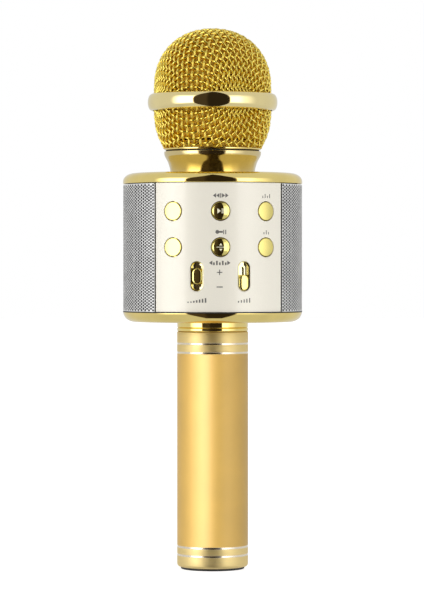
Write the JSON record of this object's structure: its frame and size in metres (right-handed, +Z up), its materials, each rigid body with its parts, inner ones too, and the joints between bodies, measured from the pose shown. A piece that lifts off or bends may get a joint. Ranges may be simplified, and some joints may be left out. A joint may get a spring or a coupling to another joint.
{
  "type": "karaoke microphone",
  "caption": "Hand-held karaoke microphone with a round speaker body, press buttons, two slide controls and a screw-on woven mesh head.",
  "frame": {"origin": "centre of the underside of the rubber pad under the handle", "axes": "+Z up along the handle towards the head; the control panel faces -Y; +X is to the right of someone facing the panel"},
  "size_m": [0.081, 0.081, 0.2443],
  "materials": {
    "rubber_black": "matte",
    "plastic_dark": "matte",
    "gold_anodised": "satin anodised gold with bright cut rings",
    "gold_plated": "mirror polished pale gold plating on plastic",
    "gold_button": "mirror polished pale gold plating on plastic",
    "ring_polished": "mirror polished pale gold",
    "mesh_gold": "woven steel wire, gold plated, satin gloss",
    "panel_champagne": "fine satin champagne silver",
    "grille_silver": "perforated satin silver sheet",
    "cloth_black": "matte black acoustic cloth",
    "foam_gold": "matte open-cell foam, golden",
    "steel_screw": "zinc plated",
    "driver_steel": "satin",
    "magnet_grey": "matte",
    "cone_paper": "matte black pressed paper",
    "board_green": "solder-resist green circuit board",
    "switch_grey": "satin",
    "socket_metal": "nickel plated",
    "jack_black": "satin black",
    "led_clear": "clear",
    "cell_wrap": "satin blue film sleeve over a metal can",
    "capsule_metal": "satin",
    "lead_red": "satin",
    "lead_white": "satin"
  },
  "bodies": {
    "microphone_body": {"base_pad": "rubber_black", "handle_end_plug": "plastic_dark", "handle_tube": "gold_anodised", "handle_core": "plastic_dark", "battery_cell": "cell_wrap", "battery_leads": "lead_red", "collar_ring": "gold_plated", "handle_collar": "gold_plated", "bottom_cap": "gold_plated", "top_cap": "gold_plated", "neck": "gold_plated", "neck_screws": "steel_screw", "core_screws": "steel_screw", "cap_screws": "steel_screw", "chassis": "plastic_dark", "front_panel": "panel_champagne", "back_panel": "panel_champagne", "left_grille": "grille_silver", "right_grille": "grille_silver", "left_dust_cloth": "cloth_black", "right_dust_cloth": "cloth_black", "left_driver_frame": "driver_steel", "right_driver_frame": "driver_steel", "left_driver_magnet": "magnet_grey", "right_driver_magnet": "magnet_grey", "left_surround": "rubber_black", "right_surround": "rubber_black", "driver_screws": "steel_screw", "main_board": "board_green", "board_screws": "steel_screw", "control_board": "board_green", "panel_screws": "steel_screw", "tact_switches": "switch_grey", "slide_potentiometers": "plastic_dark", "slider_bezels": "gold_plated", "charging_socket": "socket_metal", "audio_jack": "jack_black", "card_socket": "socket_metal", "status_led": "led_clear", "capsule_holder": "plastic_dark", "mic_capsule": "capsule_metal", "capsule_leads": "lead_white"},
    "button_upper_left": {"button_upper_left": "gold_button"},
    "button_upper_centre": {"button_upper_centre": "gold_button"},
    "button_upper_right": {"button_upper_right": "gold_button"},
    "button_lower_left": {"button_lower_left": "gold_button"},
    "button_lower_centre": {"button_lower_centre": "gold_button"},
    "button_lower_right": {"button_lower_right": "gold_button"},
    "volume_knob": {"volume_knob": "gold_button"},
    "echo_knob": {"echo_knob": "gold_button"},
    "left_cone": {"left_cone": "cone_paper"},
    "right_cone": {"right_cone": "cone_paper"},
    "seal_ring": {"head_seal_ring": "rubber_black"},
    "head": {"head_collar": "gold_plated", "head_basket_mesh": "mesh_gold", "head_ring": "ring_polished", "head_dome_mesh": "mesh_gold", "foam_windscreen": "foam_gold"}
  },
  "joints": [
    {"name": "button_upper_left_press", "type": "slide", "parent": "microphone_body", "child": "button_upper_left", "axis": [0.515, 0.8572, 0], "range_m": [0, 0.0005], "stiffness_N_per_m": 400, "springref_m": -0.0008},
    {"name": "button_upper_centre_press", "type": "slide", "parent": "microphone_body", "child": "button_upper_centre", "axis": [0, 1, 0], "range_m": [0, 0.0005], "stiffness_N_per_m": 400, "springref_m": -0.0008},
    {"name": "button_upper_right_press", "type": "slide", "parent": "microphone_body", "child": "button_upper_right", "axis": [-0.515, 0.8572, 0], "range_m": [0, 0.0005], "stiffness_N_per_m": 400, "springref_m": -0.0008},
    {"name": "button_lower_left_press", "type": "slide", "parent": "microphone_body", "child": "button_lower_left", "axis": [0.515, 0.8572, 0], "range_m": [0, 0.0005], "stiffness_N_per_m": 400, "springref_m": -0.0008},
    {"name": "button_lower_centre_press", "type": "slide", "parent": "microphone_body", "child": "button_lower_centre", "axis": [0, 1, 0], "range_m": [0, 0.0005], "stiffness_N_per_m": 400, "springref_m": -0.0008},
    {"name": "button_lower_right_press", "type": "slide", "parent": "microphone_body", "child": "button_lower_right", "axis": [-0.515, 0.8572, 0], "range_m": [0, 0.0005], "stiffness_N_per_m": 400, "springref_m": -0.0008},
    {"name": "volume_slide", "type": "slide", "parent": "microphone_body", "child": "volume_knob", "axis": [0, 0, 1], "range_m": [-0.0028, 0.0028]},
    {"name": "echo_slide", "type": "slide", "parent": "microphone_body", "child": "echo_knob", "axis": [0, 0, 1], "range_m": [0, 0.0056]},
    {"name": "left_cone_travel", "type": "slide", "parent": "microphone_body", "child": "left_cone", "axis": [-1, 0, 0], "range_m": [-0.0006, 0.0006], "stiffness_N_per_m": 1000},
    {"name": "right_cone_travel", "type": "slide", "parent": "microphone_body", "child": "right_cone", "axis": [1, 0, 0], "range_m": [-0.0006, 0.0006], "stiffness_N_per_m": 1000},
    {"name": "head_lift", "type": "slide", "parent": "microphone_body", "child": "seal_ring", "axis": [0, 0, 1], "range_m": [0, 0.0045]},
    {"name": "head_unscrew", "type": "hinge", "parent": "seal_ring", "child": "head", "pos_m": [0, 0, 0.1886], "axis": [0, 0, 1], "range_deg": [0, 1080]}
  ],
  "couplings": [
    {"joint": "head_lift", "follows": "head_unscrew", "m_per_rad": 0.0002387}
  ]
}
